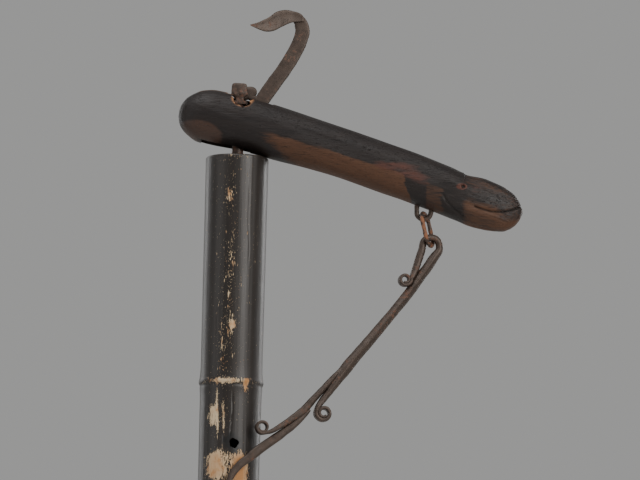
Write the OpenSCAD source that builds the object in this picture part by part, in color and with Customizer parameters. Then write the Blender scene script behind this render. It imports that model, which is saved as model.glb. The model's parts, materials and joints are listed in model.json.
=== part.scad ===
// Jizaikagi: a height-adjustable hearth hook, held with its working end up.
// A bamboo tube carries a carved wooden lever on its rim, and an iron rod with
// a pot hook slides in the tube and through the lever's mortise.
// Millimetres. +Z up along the tube, +X towards the lever's tail. Y is the
// lever's pin direction. Z = 0 is the rope hole near the tube's lower end.

/* [Tube] */
// Outer diameter of the bamboo at its rim
tube_d = 66; // [54:1:80]
// Length of the bamboo
tube_len = 1000; // [820:10:1200]
// Wall of the bamboo at the rim
wall = 8; // [6:0.5:10]
// How much smaller the radius is at the far end
taper = 3.5; // [0:0.5:5]
// Rim to the first growth node
node_1 = 238; // [200:1:280]
// Rim to the second growth node
node_2 = 503; // [460:1:540]
// Rim to the third growth node, which stays closed
node_3 = 783; // [740:1:800]
// Diameter of the hole for the hanging rope
rope_d = 12; // [8:0.5:16]

/* [Lever] */
// Length of the lever from nose to tail
lever_len = 364; // [300:1:440]
// Thickness of the lever across its cheeks, at the head
lever_w = 46; // [38:1:56]
// Half of the mortise's width
mortise_half = 10; // [9:0.5:12]
// Gap between the rim and the lever resting on it
seat_gap = 0.35; // [0.3:0.05:1]

/* [Rod and hook] */
// Diameter of the sliding rod
rod_d = 12; // [9:0.5:14]
// Diameter of the pin that carries the hook
pin_d = 6; // [4:0.5:8]
// Radial play of the hook on its pin
pin_play = 0.08; // [0.02:0.01:0.1]
// Width of the hook's flat bar
hook_w = 15.4; // [12:0.2:18]
// Thickness of the hook's flat bar
hook_t = 6; // [4:0.5:7]
// How far the blade of the hook is bent forward, in degrees
blade_angle = 18; // [0:1:25]

/* [Iron brace] */
// Width of the brace's main bar
bar_w = 12; // [10:0.5:12.5]
// Thickness of the brace's bars
bar_t = 8; // [6:0.5:9]
// Width of the long tongue lapped on the brace
tongue_w = 8.4; // [6:0.2:9]
// Width of the brace's lower bar
foot_w = 10; // [9:0.5:12]
// Wire diameter of the two staples
staple_d = 5.2; // [4:0.2:6]
// Wire diameter of the chain ring
ring_d = 4.4; // [3.6:0.2:5]

/* [Hidden] */
$fn = 48;

BAMBOO = [0.13, 0.10, 0.08];
WOOD = [0.24, 0.15, 0.10];
IRON = [0.20, 0.17, 0.15];
RUST = [0.42, 0.24, 0.13];

rope_inset = 25;
rim_z = tube_len - rope_inset;
tube_r = tube_d / 2;
bore_r = tube_r - wall;
foot_bore_r = bore_r - taper;
septum = 6;
swell = 1.6;
guide_play = 0.5;
press = 0.02;
peg_hole = [5, -304];
peg_hole_r = 5;

// Rod end, inside the tube and below the first node
bobbin_r = bore_r - 0.5;
bobbin_h = 28;
washer_t = 2;
washer_r = 14;
bobbin_z = -node_3 + septum / 2 + 0.4 + washer_t;
bobbin_peg_d = 4;
fork_z = 57;
fork_top = 79;
fork_x = [-8, 9];
fork_half = 7.5;
fork_slot = hook_t / 2 + 0.4;
pin_at = [2, 69];

// Lever outline: distance from the tube's axis, then height over the rim
lever_top = [[-63, 45], [-61, 53.5], [-55, 62], [-47, 67.5], [-38.5, 71], [-30, 71.5], [-20, 70.5],
    [-10, 68.5], [10, 65], [33, 59], [71, 47.5], [122, 31.5], [172, 15], [223, -4], [240, -9.5],
    [250, -12], [266, -17.5], [282, -24.5], [291, -32], [297.5, -40], [301, -48]];
lever_bottom = [[-63, 41], [-61, 33.5], [-54, 25], [-45.5, 18], [-37, 15], [-29, 13], [-12, 10],
    [5, 7.4], [20, 3.2], [33, 0], [47, -2.5], [72, -8], [98, -14.5], [123, -22.5], [148, -31],
    [174, -40], [203, -50], [225, -57], [242, -65], [250, -68], [267, -70.5], [276, -71.5],
    [284, -70], [292, -65.5], [298, -58], [301, -50]];
lever_half = [[-63, 0.05], [-61, 0.42], [-55, 0.72], [-47, 0.88], [-30, 1], [33, 0.97], [172, 0.9],
    [240, 0.82], [266, 0.72], [282, 0.6], [291, 0.48], [297, 0.32], [301, 0.06]];
stations = [-63, -61.5, -59, -55, -50, -44, -36, -26, -12, 5, 20, 33, 50, 72, 98, 123, 148, 174, 203,
    225, 242, 250, 260, 270, 280, 287, 293, 297, 299.5, 301];
ring_points = 28;
roundness = 2.5;
lever_k = lever_len / 364;
lever_z = seat_gap - lookup(tube_r / lever_k, lever_bottom);
mortise = [[-12, 90], [-12, 66], [-41, 14], [-50, -4], [13, -4], [13, 5], [38, 60], [38, 90]];
chip_at = [4, 61];
chip_r = 9;

// Staple and ring under the lever's tail
staple_r = staple_d / 2;
bend_r = 7.5;
lever_staple_at = [197.2 * lever_k, lever_z - 52.8];
ring_wire = ring_d / 2;
ring_half_w = 9;
ring_top = [lever_staple_at[0] - 0.4, lever_staple_at[1] - 1.2];
ring_end = [ring_top[0] + 8.7, ring_top[1] - 34.3];
ring_len = norm(ring_end - ring_top);
ring_lean = atan2(ring_end[0] - ring_top[0], ring_top[1] - ring_end[1]);

// The brace lies in an upright plane from the tube's staple to the ring
foot_at = [-7, -tube_r - 5.5, -358];
foot_eye_r = 9.5;
foot_eye_play = 0.9;
brace_turn = atan2(-foot_at[1], ring_end[0] - foot_at[0]);
reach = norm([ring_end[0] - foot_at[0], foot_at[1]]);
rise = ring_end[1] - foot_at[2];
bar_path = [[221.5, 269.7, 0.62], [220.3, 264.5, 0.66], [216.4, 258, 0.72], [209.8, 247.6, 0.78],
    [186.8, 214.4, 0.79], [172.3, 195.5, 0.77], [151.8, 168.8, 0.85], [137, 150.6, 0.92],
    [125.4, 136.2, 0.98], [114.7, 123.1, 1]];
strand_path = [[118.8, 123.6, 0.54], [108.5, 110.1, 0.54], [101.3, 100.6, 0.52], [97.8, 94.5, 0.48],
    [97.2, 89, 0.45]];
return_path = [[203.5, 269.7, 0.62], [200.9, 260, 0.62], [198.4, 250, 0.65], [195.3, 240, 0.58],
    [192.2, 231, 0.42]];
tongue_path = [[112.3, 125, 0.71], [103.1, 114, 0.75], [95.1, 105, 0.79], [83.1, 90.8, 1], [69, 79.6, 0.75],
    [56.3, 70.8, 0.6], [50, 67.2, 0.55], [43, 64.9, 0.5]];
foot_path = [[90.5, 87, 0.25], [84, 82.4, 0.45], [73.2, 74.5, 0.67], [60.5, 64.8, 0.88], [41.8, 50.5, 0.98],
    [28, 38.8, 0.88], [19, 31.2, 0.84], [10.4, 21.5, 0.8], [6, 12.5, 0.8], [4, 5, 0.8]];
weld_play = 0.3;
span = 212.5;
drop = 270.05;
slant = 1.0163;
run_from = 122;
run_to = 182;
hair_at = [212.5, 269.7];
hair_r = 9;
hair_w = 7.5;
curl_1 = [185.8, 233];
curl_1_r = 8;
curl_2 = [104, 88.6];
curl_2_r = 10;
curl_3 = [41, 71.2];
curl_3_r = 8;

function mix(a, b, t) = a + (b - a) * t;
function at(list, i) = list[max(0, min(i, len(list) - 1))];
// A smooth curve through a list of points
function bend(a, b, c, d, t) =
    0.5 * (2 * b + (c - a) * t + (2 * a - 5 * b + 4 * c - d) * t * t + (3 * b - a - 3 * c + d) * t * t * t);
function smooth(p, steps) = concat(
    [for (i = [0 : len(p) - 2], k = [0 : steps - 1])
        bend(at(p, i - 1), p[i], p[i + 1], at(p, i + 2), k / steps)],
    [p[len(p) - 1]]);
function heading(p, i) = (at(p, i + 1) - at(p, i - 1)) / norm(at(p, i + 1) - at(p, i - 1));
function beside(p, i, w) = p[i] + w * [-heading(p, i)[1], heading(p, i)[0]];
function outline(p, w0, w1) = concat(
    [for (i = [0 : len(p) - 1]) beside(p, i, mix(w0, w1, i / (len(p) - 1)) / 2)],
    [for (i = [len(p) - 1 : -1 : 0]) beside(p, i, -mix(w0, w1, i / (len(p) - 1)) / 2)]);

// The outline of a path whose points carry their share of the width, grown by extra
function spine(p) = [for (q = p) [q[0], q[1]]];
function ribbon(p, w, extra) = concat(
    [for (i = [0 : len(p) - 1]) beside(spine(p), i, p[i][2] * w / 2 + extra)],
    [for (i = [len(p) - 1 : -1 : 0]) beside(spine(p), i, -p[i][2] * w / 2 - extra)]);

// A flat shape in the XZ plane, thick along Y
module upright(t)
    rotate([90, 0, 0])
        linear_extrude(height = t, center = true)
            children();

module along_y(r, h)
    rotate([90, 0, 0])
        cylinder(r = r, h = h, center = true);

// A staple's bend and legs in the XY plane: legs run towards +Y
module staple(wire, half, leg) {
    for (s = [-1, 1])
        translate([s * half, 0, 0])
            rotate([-90, 0, 0])
                cylinder(r = wire, h = leg);
    intersection() {
        rotate_extrude()
            translate([half, 0])
                circle(r = wire);
        translate([-half - 2 * wire, -half - 2 * wire, -2 * wire])
            cube([2 * half + 4 * wire, half + 2 * wire, 4 * wire]);
    }
}

// Half of a ring's round end in the YZ plane, centred on its own bend
module ring_bow(up)
    intersection() {
        rotate([0, 90, 0])
            rotate_extrude()
                translate([ring_half_w, 0])
                    circle(r = ring_wire);
        translate([-10, -20, up ? 0 : -20])
            cube([20, 40, 20]);
    }

function tube_radius(z) = tube_r + taper * z / tube_len;

module growth_node(z)
    translate([0, 0, z]) {
        cylinder(r1 = tube_radius(z) - 0.3, r2 = tube_radius(z) + swell, h = 4);
        translate([0, 0, 4])
            cylinder(r1 = tube_radius(z) + swell, r2 = tube_radius(z) - 0.3, h = 7);
    }

module bamboo_tube()
    color(BAMBOO)
        translate([0, 0, rim_z])
            difference() {
                union() {
                    translate([0, 0, -tube_len])
                        cylinder(r1 = tube_r - taper, r2 = tube_r, h = tube_len, $fn = 96);
                    for (z = [node_1, node_2, node_3])
                        growth_node(-z - 5);
                }
                translate([0, 0, -node_1 + septum / 2])
                    cylinder(r = bore_r, h = node_1, $fn = 96);
                translate([0, 0, -node_1 - septum])
                    cylinder(r = rod_d / 2 + guide_play, h = 2 * septum);
                translate([0, 0, -node_3 + septum / 2])
                    cylinder(r = bore_r, h = node_3 - node_1 - septum, $fn = 96);
                translate([0, 0, -tube_len - 1])
                    cylinder(r = foot_bore_r, h = tube_len - node_3 - septum / 2 + 1, $fn = 96);
                translate([0, 0, -rim_z])
                    along_y(rope_d / 2, tube_d + 10);
                translate([peg_hole[0], -tube_r, peg_hole[1]])
                    along_y(peg_hole_r, 20);
                for (z = [0, -2 * bend_r])
                    translate([foot_at[0], -tube_r, foot_at[2] + z])
                        along_y(staple_r + press, 22);
            }

module tube_staple()
    color(IRON)
        translate([foot_at[0], foot_at[1] - 6.5, rim_z + foot_at[2] - bend_r])
            rotate([0, 90, 0])
                staple(staple_r, bend_r, 18);

function lever_width(x) = lever_w / 2 * lookup(x, lever_half);
function lever_ring(x) = [for (k = [0 : ring_points - 1])
    let (
        a = 360 * k / ring_points,
        hi = lookup(x, lever_top),
        lo = lookup(x, lever_bottom),
        c = cos(a),
        s = sin(a)
    )
    [x * lever_k,
        lever_width(x) * sign(c) * pow(abs(c), 2 / roundness),
        lever_z + (hi + lo) / 2 + (hi - lo) / 2 * sign(s) * pow(abs(s), 2 / roundness)]];

module lever_body()
    polyhedron(
        points = [for (x = stations) each lever_ring(x)],
        faces = concat(
            [[for (k = [ring_points - 1 : -1 : 0]) k]],
            [for (i = [0 : len(stations) - 2], k = [0 : ring_points - 1])
                let (a = i * ring_points, b = a + ring_points, n = (k + 1) % ring_points)
                each [[a + k, a + n, b + n], [a + k, b + n, b + k]]],
            [[for (k = [0 : ring_points - 1]) (len(stations) - 1) * ring_points + k]]),
        convexity = 4);

module lever_arm()
    color(WOOD)
        translate([0, 0, rim_z])
            difference() {
                lever_body();
                upright(2 * mortise_half)
                    polygon(mortise);
                translate([chip_at[0], -mortise_half - 10, chip_at[1]])
                    along_y(chip_r, 22);
                for (s = [-1, 1])
                    translate([lever_staple_at[0] + s * bend_r, 0, lever_staple_at[1] - 1])
                        cylinder(r = staple_r + press, h = 24);
            }

module lever_staple()
    color(IRON)
        translate([lever_staple_at[0], 0, rim_z + lever_staple_at[1]])
            rotate([90, 0, 0])
                staple(staple_r, bend_r, 20);

module chain_ring()
    color(RUST)
        translate([ring_top[0], 0, rim_z + ring_top[1]])
            rotate([0, -ring_lean, 0]) {
                translate([0, 0, -ring_half_w])
                    ring_bow(true);
                translate([0, 0, ring_half_w - ring_len])
                    ring_bow(false);
                for (s = [-1, 1])
                    translate([0, s * ring_half_w, ring_half_w - ring_len])
                        cylinder(r = ring_wire, h = ring_len - 2 * ring_half_w);
            }

// Puts the brace's own plane, measured from the staple, in place
module in_brace()
    translate([foot_at[0], foot_at[1], rim_z + foot_at[2]])
        rotate([0, 0, brace_turn])
            children();

// Points of the brace: only the long bare run stretches to meet the ring
function share(x) = max(0, min(1, (x - run_from) / (run_to - run_from)));
function placed(p) = [for (q = p)
    [q[0] * slant + share(q[0]) * (reach - span * slant), q[1] + share(q[0]) * (rise - drop), q[2]]];
function spot(q) = placed([q])[0];

module strap(p, w, t, extra = 0)
    upright(t)
        polygon(ribbon(smooth(placed(p), 6), w, extra));

module curl(at_point, r, t)
    translate([spot(at_point)[0], 0, spot(at_point)[1]])
        difference() {
            along_y(r, t);
            along_y(r * 0.28, t + 2);
        }

module brace_upper_bar()
    color(IRON)
        in_brace() {
            strap(bar_path, bar_w, bar_t);
            strap(strand_path, bar_w, bar_t - 1);
            strap(return_path, bar_w, bar_t);
            translate([spot(hair_at)[0], 0, spot(hair_at)[1]])
                intersection() {
                    difference() {
                        along_y(hair_r + hair_w / 2, bar_t);
                        along_y(hair_r - hair_w / 2, bar_t + 2);
                    }
                    translate([-20, -10, 0])
                        cube([40, 20, 20]);
                }
            curl(curl_1, curl_1_r, bar_t + 3);
            curl(curl_2, curl_2_r, bar_t + 3);
        }

module brace_tongue()
    color(IRON)
        in_brace() {
            difference() {
                strap(tongue_path, tongue_w, bar_t - 1);
                strap(bar_path, bar_w, bar_t + 2, weld_play);
                strap(strand_path, bar_w, bar_t + 2, weld_play);
            }
            curl(curl_3, curl_3_r, bar_t + 2);
        }

module brace_foot_bar()
    color(IRON)
        in_brace()
            difference() {
                union() {
                    strap(foot_path, foot_w, bar_t - 1);
                    along_y(foot_eye_r, bar_t - 1);
                }
                strap(tongue_path, tongue_w, bar_t + 2, weld_play);
                rotate([0, 0, -brace_turn])
                    along_y(staple_r + foot_eye_play, 30);
            }

module slide_rod()
    color(RUST)
        translate([0, 0, rim_z + bobbin_z - washer_t])
            difference() {
                cylinder(r = rod_d / 2, h = fork_z - bobbin_z + washer_t);
                translate([0, 0, washer_t + bobbin_h / 2])
                    along_y(bobbin_peg_d / 2 + press, 30);
            }

module rod_fork()
    color(RUST)
        translate([0, 0, rim_z])
            difference() {
                translate([fork_x[0], -fork_half, fork_z + press])
                    cube([fork_x[1] - fork_x[0], 2 * fork_half, fork_top - fork_z - press]);
                translate([fork_x[0] - 1, -fork_slot, fork_z + 3])
                    cube([fork_x[1] - fork_x[0] + 2, 2 * fork_slot, fork_top]);
                translate([pin_at[0], 0, pin_at[1]])
                    along_y(pin_d / 2 + press, 30);
            }

module hook_pin()
    color(IRON)
        translate([pin_at[0], 0, rim_z + pin_at[1]])
            along_y(pin_d / 2, 2 * fork_half + 1);

module pot_hook()
    color(IRON)
        translate([0, 0, rim_z])
            difference() {
                union() {
                    translate([pin_at[0], 0, pin_at[1]])
                        along_y(7.5, hook_t);
                    translate([12, 0, 70])
                        along_y(7, hook_t);
                    upright(hook_t)
                        polygon(outline([[2, 69.3], [12, 70]], 13, 13));
                    upright(hook_t)
                        polygon(outline([[11, 67], [18, 62.6], [26, 61.5]], 8, 6.6));
                    upright(hook_t)
                        polygon(outline(smooth([[23.6, 61], [33.9, 77.2], [48, 98], [58, 115.4], [63.8, 129],
                            [64.8, 139], [61, 147.5]], 6), hook_w, hook_w));
                    translate([60.8, 0, 146.8])
                        along_y(hook_w / 2, hook_t);
                    translate([61, 0, 0])
                        rotate([0, 0, blade_angle])
                            upright(hook_t - 1)
                                polygon(concat(
                                    smooth([[2, 154], [-6, 157.4], [-16, 158.4], [-26, 155.5], [-34, 149],
                                        [-45, 143], [-53.5, 140.2]], 4),
                                    smooth([[-53.3, 138.6], [-45, 135.6], [-36.5, 133.6], [-29.5, 134.8],
                                        [-20.5, 139.8], [-11, 145.4], [-2, 148]], 4)));
                }
                translate([pin_at[0], 0, pin_at[1]])
                    along_y(pin_d / 2 + pin_play, 30);
            }

module rod_bobbin()
    color(WOOD)
        translate([0, 0, rim_z + bobbin_z])
            difference() {
                cylinder(r = bobbin_r, h = bobbin_h, $fn = 96);
                translate([0, 0, -1])
                    cylinder(r = rod_d / 2 + press, h = bobbin_h + 2);
                translate([0, 0, bobbin_h / 2])
                    along_y(bobbin_peg_d / 2 + press, 60);
            }

module bobbin_washer()
    color(IRON)
        translate([0, 0, rim_z + bobbin_z - washer_t])
            difference() {
                cylinder(r = washer_r, h = washer_t - press);
                translate([0, 0, -1])
                    cylinder(r = rod_d / 2 + press, h = washer_t + 2);
            }

module bobbin_peg()
    color(IRON)
        translate([0, 0, rim_z + bobbin_z + bobbin_h / 2])
            along_y(bobbin_peg_d / 2, 2 * bobbin_r - 2);

bamboo_tube();
tube_staple();
lever_arm();
lever_staple();
chain_ring();
brace_upper_bar();
brace_tongue();
brace_foot_bar();
slide_rod();
rod_fork();
hook_pin();
pot_hook();
rod_bobbin();
bobbin_washer();
bobbin_peg();
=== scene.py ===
import json
import math

import bmesh
import bpy
import numpy as np
from mathutils import Matrix, Vector

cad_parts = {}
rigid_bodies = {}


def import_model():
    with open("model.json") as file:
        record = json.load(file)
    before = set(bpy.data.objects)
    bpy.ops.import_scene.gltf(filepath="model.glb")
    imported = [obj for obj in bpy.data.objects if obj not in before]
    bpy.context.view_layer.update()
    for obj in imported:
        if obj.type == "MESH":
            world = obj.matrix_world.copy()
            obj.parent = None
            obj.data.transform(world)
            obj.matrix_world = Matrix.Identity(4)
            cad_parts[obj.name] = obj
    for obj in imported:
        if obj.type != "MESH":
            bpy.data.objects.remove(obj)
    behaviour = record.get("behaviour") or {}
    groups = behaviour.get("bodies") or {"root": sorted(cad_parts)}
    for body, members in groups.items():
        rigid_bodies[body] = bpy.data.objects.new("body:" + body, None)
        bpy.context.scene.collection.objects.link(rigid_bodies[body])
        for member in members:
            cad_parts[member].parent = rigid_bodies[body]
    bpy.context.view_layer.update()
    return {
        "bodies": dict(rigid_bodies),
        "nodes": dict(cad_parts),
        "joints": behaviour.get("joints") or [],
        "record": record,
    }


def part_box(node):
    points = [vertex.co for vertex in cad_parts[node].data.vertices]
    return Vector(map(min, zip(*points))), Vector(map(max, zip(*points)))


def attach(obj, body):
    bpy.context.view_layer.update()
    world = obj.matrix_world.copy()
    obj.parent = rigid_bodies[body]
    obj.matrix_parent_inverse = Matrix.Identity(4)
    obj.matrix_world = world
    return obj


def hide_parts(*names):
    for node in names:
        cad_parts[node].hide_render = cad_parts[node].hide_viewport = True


bl_info = {
    "name": "Hearth Hook Builder",
    "version": (1, 0, 0),
    "blender": (4, 5, 0),
    "location": "3D View > Sidebar > Hearth Hook",
    "description": "Builds the bamboo tube, lever, brace, rod and pot hook of a hearth hanger",
    "category": "Object",
}

MM = 0.001
RIM = 0.975  # height of the tube's rim over the model's origin, in metres
SEED = 7
SCALE_GRAIN, RUST_PATCH = 1.4, 14  # sizes of the iron's scale and rusty patches, in millimetres


# ---- noise

def lattice(ix, iy, iz, seed):
    """A repeatable number from -1 to 1 for each whole-number cell."""
    h = (ix * 374761393 + iy * 668265263 + iz * 1274126177 + seed * 974634777) & 0xFFFFFFFF
    h = ((h ^ (h >> 13)) * 1103515245) & 0xFFFFFFFF
    h = (h ^ (h >> 16)) & 0xFFFFFFFF
    return h / 0x7FFFFFFF - 1.0


def cloud(points, seed):
    """Smooth value noise at points given in cells."""
    base = np.floor(points).astype(np.int64)
    f = points - base
    f = f * f * (3.0 - 2.0 * f)
    total = np.zeros(len(points))
    for corner in range(8):
        dx, dy, dz = corner & 1, (corner >> 1) & 1, corner >> 2
        weight = (f[:, 0] if dx else 1 - f[:, 0]) * (f[:, 1] if dy else 1 - f[:, 1])
        weight = weight * (f[:, 2] if dz else 1 - f[:, 2])
        total += weight * lattice(base[:, 0] + dx, base[:, 1] + dy, base[:, 2] + dz, seed)
    return total


def rough(points, cell, seed, octaves):
    """Layered noise. cell is the size of its largest lumps along X, Y and Z, in millimetres."""
    q = np.asarray(points, dtype=float) / np.asarray(cell, dtype=float)
    total, gain = np.zeros(len(q)), 1.0
    for k in range(octaves):
        total += gain * cloud(q * 2 ** k + 17.3 * k, seed + k)
        gain *= 0.5
    return total


def step(x, a, b):
    """0 up to a and 1 from b on, with a smooth rise between."""
    t = np.clip((x - a) / (b - a), 0.0, 1.0)
    return t * t * (3 - 2 * t)


def between(x, a, b, c, d):
    """1 from b to c, with a smooth rise from a and a smooth fall to d."""
    return step(x, a, b) * (1 - step(x, c, d))


def bell(x, centre, width):
    """1 at the centre, falling smoothly over the width on either side."""
    return np.exp(-((x - centre) / width) ** 2)


def disc(x, z, centre, inner, outer):
    """1 within the inner radius of a centre in the XZ plane and 0 past the outer one."""
    return 1 - step(np.hypot(x - centre[0], z - centre[1]), inner, outer)


def circle(count):
    """Angles at equal steps once round."""
    return np.linspace(0, 2 * math.pi, count, endpoint=False)


def bent(share, exponent):
    """A cosine or sine bent so that a circle swells towards a square as the exponent falls."""
    return np.copysign(abs(share) ** exponent, share)


def near_line(x, z, line, width):
    """1 on a polyline in the XZ plane, falling to 0 at width away from it."""
    best = np.full(len(x), 1e9)
    for (ax, az), (bx, bz) in zip(line[:-1], line[1:]):
        dx, dz = bx - ax, bz - az
        t = np.clip(((x - ax) * dx + (z - az) * dz) / (dx * dx + dz * dz), 0, 1)
        best = np.minimum(best, np.hypot(x - ax - t * dx, z - az - t * dz))
    return 1 - step(best, 0, width)


# ---- curves and meshes, in millimetres over the rim

def smooth(points, steps):
    """A Catmull-Rom curve through given points."""
    p = np.asarray(points, dtype=float)
    p = np.vstack([2 * p[0] - p[1], p, 2 * p[-1] - p[-2]])
    out = []
    for i in range(1, len(p) - 2):
        a, b, c, d = p[i - 1:i + 3]
        for k in range(steps):
            t = k / steps
            out.append(0.5 * (2 * b + (c - a) * t + (2 * a - 5 * b + 4 * c - d) * t * t
                              + (3 * b - a - 3 * c + d) * t ** 3))
    out.append(p[-2])
    return np.array(out)


def even(curve, count, values=None):
    """The curve resampled at equal distances, with any values that go with its points."""
    gaps = np.linalg.norm(np.diff(curve, axis=0), axis=1)
    s = np.concatenate([[0], np.cumsum(gaps)])
    t = np.linspace(0, s[-1], count)
    pts = np.stack([np.interp(t, s, curve[:, k]) for k in range(curve.shape[1])], axis=1)
    if values is None:
        return pts
    return pts, np.interp(t, s, values)


def tangents(path):
    """Unit directions along a path."""
    t = np.gradient(path, axis=0)
    return t / np.linalg.norm(t, axis=1)[:, None]


def added(name, data):
    """A new object in the scene."""
    obj = bpy.data.objects.new(name, data)
    bpy.context.scene.collection.objects.link(obj)
    return obj


def to_mesh(name, points, faces):
    """A mesh object from points in millimetres over the rim."""
    mesh = bpy.data.meshes.new(name)
    verts = np.asarray(points, dtype=float) * MM
    verts[:, 2] += RIM
    mesh.from_pydata(verts.tolist(), [], faces)
    mesh.update()
    return added(name, mesh)


def ring_faces(rows, cols, closed=False):
    """Faces of a grid whose rows are rings, capped at its ends unless it closes on itself."""
    faces = []
    for i in range(rows if closed else rows - 1):
        a, b = i * cols, ((i + 1) % rows) * cols
        faces += [(a + k, a + (k + 1) % cols, b + (k + 1) % cols, b + k) for k in range(cols)]
    if not closed:
        faces.append(tuple(range(cols - 1, -1, -1)))
        faces.append(tuple((rows - 1) * cols + k for k in range(cols)))
    return faces


def facing_out(obj):
    """Turns every face's normal outward."""
    bm = bmesh.new()
    bm.from_mesh(obj.data)
    bmesh.ops.recalc_face_normals(bm, faces=bm.faces)
    bm.to_mesh(obj.data)
    bm.free()


def soften(obj, degrees):
    """Smooth shading, with edges sharper than the angle left crisp."""
    bm = bmesh.new()
    bm.from_mesh(obj.data)
    limit = math.radians(degrees)
    for face in bm.faces:
        face.smooth = True
    for edge in bm.edges:
        edge.smooth = len(edge.link_faces) == 2 and edge.calc_face_angle(0) < limit
    bm.to_mesh(obj.data)
    bm.free()


def places(obj):
    """Vertex positions in millimetres over the rim, and their normals."""
    count = len(obj.data.vertices)
    co, no = np.empty(count * 3), np.empty(count * 3)
    obj.data.vertices.foreach_get("co", co)
    obj.data.vertices.foreach_get("normal", no)
    co = co.reshape(-1, 3) / MM
    co[:, 2] -= RIM / MM
    return co, no.reshape(-1, 3)


def push(obj, distance):
    """Moves each vertex along its normal by a distance in millimetres."""
    co, no = places(obj)
    co = co + no * distance[:, None]
    co[:, 2] += RIM / MM
    obj.data.vertices.foreach_set("co", (co * MM).ravel())
    obj.data.update()


def paint(obj, name, values):
    """Stores a value from 0 to 1 at each vertex, for the materials to read."""
    layer = obj.data.attributes.new(name, "FLOAT", "POINT")
    layer.data.foreach_set("value", np.clip(values, 0, 1).astype(np.float32))


def cut(obj, cutter):
    """Takes the cutter's shape out of obj for good."""
    mod = obj.modifiers.new("cut", "BOOLEAN")
    mod.operation = "DIFFERENCE"
    mod.solver = "EXACT"
    mod.object = cutter
    graph = bpy.context.evaluated_depsgraph_get()
    done = bpy.data.meshes.new_from_object(obj.evaluated_get(graph))
    obj.modifiers.remove(mod)
    old = obj.data
    obj.data = done
    bpy.data.meshes.remove(old)
    bpy.data.objects.remove(cutter, do_unlink=True)


def prism(outline, low, high):
    """A cutter: an XZ outline made solid from Y low to Y high."""
    n = len(outline)
    pts = [(x, low, z) for x, z in outline] + [(x, high, z) for x, z in outline]
    faces = [tuple(range(n)), tuple(range(2 * n - 1, n - 1, -1))]
    faces += [(i, (i + 1) % n, (i + 1) % n + n, i + n) for i in range(n)]
    obj = to_mesh("cutter", pts, faces)
    facing_out(obj)
    return obj


def bar(path, across, width, thick, sides=20, power=3.5):
    """Rings of a bar along a path. across is its width's direction: one vector, or one a point."""
    t = tangents(path)
    across = np.broadcast_to(np.asarray(across, dtype=float), path.shape)
    a = across - (across * t).sum(1)[:, None] * t
    a /= np.linalg.norm(a, axis=1)[:, None]
    b = np.cross(t, a)
    width, thick, power = (np.zeros(len(path)) + value for value in (width, thick, power))
    rings = []
    for k in range(sides):
        ang = 2 * math.pi * k / sides
        u, v = bent(math.cos(ang), 2 / power), bent(math.sin(ang), 2 / power)
        rings.append(path + a * (u * width / 2)[:, None] + b * (v * thick / 2)[:, None])
    return np.stack(rings, axis=1)


def solid(name, rings, closed=False):
    """An object from rings of points, capped unless the last ring meets the first."""
    rows, cols = rings.shape[:2]
    obj = to_mesh(name, rings.reshape(-1, 3), ring_faces(rows, cols, closed))
    facing_out(obj)
    return obj


def joined(name, parts):
    """One object from several, keeping their meshes as they are."""
    bm = bmesh.new()
    for part in parts:
        bm.from_mesh(part.data)
        bpy.data.objects.remove(part, do_unlink=True)
    mesh = bpy.data.meshes.new(name)
    bm.to_mesh(mesh)
    bm.free()
    return added(name, mesh)


def hammered(obj, size, depth, grit, seed):
    """Forging marks of a size and depth, fine scale on top, and where the rust gathers."""
    co, _ = places(obj)
    marks = rough(co, (size,) * 3, seed, 2)
    push(obj, depth * marks + grit * rough(co, (SCALE_GRAIN,) * 3, seed + 5, 2))
    co, _ = places(obj)
    paint(obj, "rust", 0.5 + 0.5 * rough(co, (RUST_PATCH,) * 3, seed + 9, 3))


def finish(obj, body, slot, material, *nodes, sharp=40):
    """Shades a piece, gives it its material and body, and puts it in the place of its CAD piece."""
    soften(obj, sharp)
    obj.data.materials.clear()
    obj.data.materials.append(material)
    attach(obj, body)
    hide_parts(*nodes)


# ---- materials

# Near black for the patch painted round the peg hole in the tube
PEG_RING_BLACK = (0.002, 0.002, 0.002)


def group(name, inputs, outputs):
    """An empty shader node group with its sockets."""
    tree = bpy.data.node_groups.new(name, "ShaderNodeTree")
    for label, kind, default in inputs:
        tree.interface.new_socket(label, in_out="INPUT", socket_type=kind).default_value = default
    for label, kind in outputs:
        tree.interface.new_socket(label, in_out="OUTPUT", socket_type=kind)
    return tree, tree.nodes.new("NodeGroupInput"), tree.nodes.new("NodeGroupOutput")


def node(tree, kind, values=None, **settings):
    """A node with its settings, and with its inputs linked to sockets or set to constants."""
    n = tree.nodes.new(kind)
    for key, value in settings.items():
        setattr(n, key, value)
    for key, value in (values or {}).items():
        if isinstance(value, bpy.types.NodeSocket):
            tree.links.new(value, n.inputs[key])
        else:
            n.inputs[key].default_value = value
    return n


def calc(tree, operation, *values, clamp=False):
    """The result of a math node."""
    return node(tree, "ShaderNodeMath", dict(enumerate(values)), operation=operation,
                use_clamp=clamp).outputs[0]


def times(tree, a, b):
    return calc(tree, "MULTIPLY", a, b)


def blend(tree, factor, a, b):
    """A mix of two colours, each a socket or three numbers."""
    a, b = ((*c, 1.0) if isinstance(c, tuple) else c for c in (a, b))
    # A mix node holds its factor at input 0, and its two colours at 6 and 7
    return node(tree, "ShaderNodeMix", {0: factor, 6: a, 7: b}, data_type="RGBA").outputs[2]


def attribute(tree, name):
    """What paint stored under the name."""
    return node(tree, "ShaderNodeAttribute", attribute_name=name).outputs["Fac"]


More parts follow.
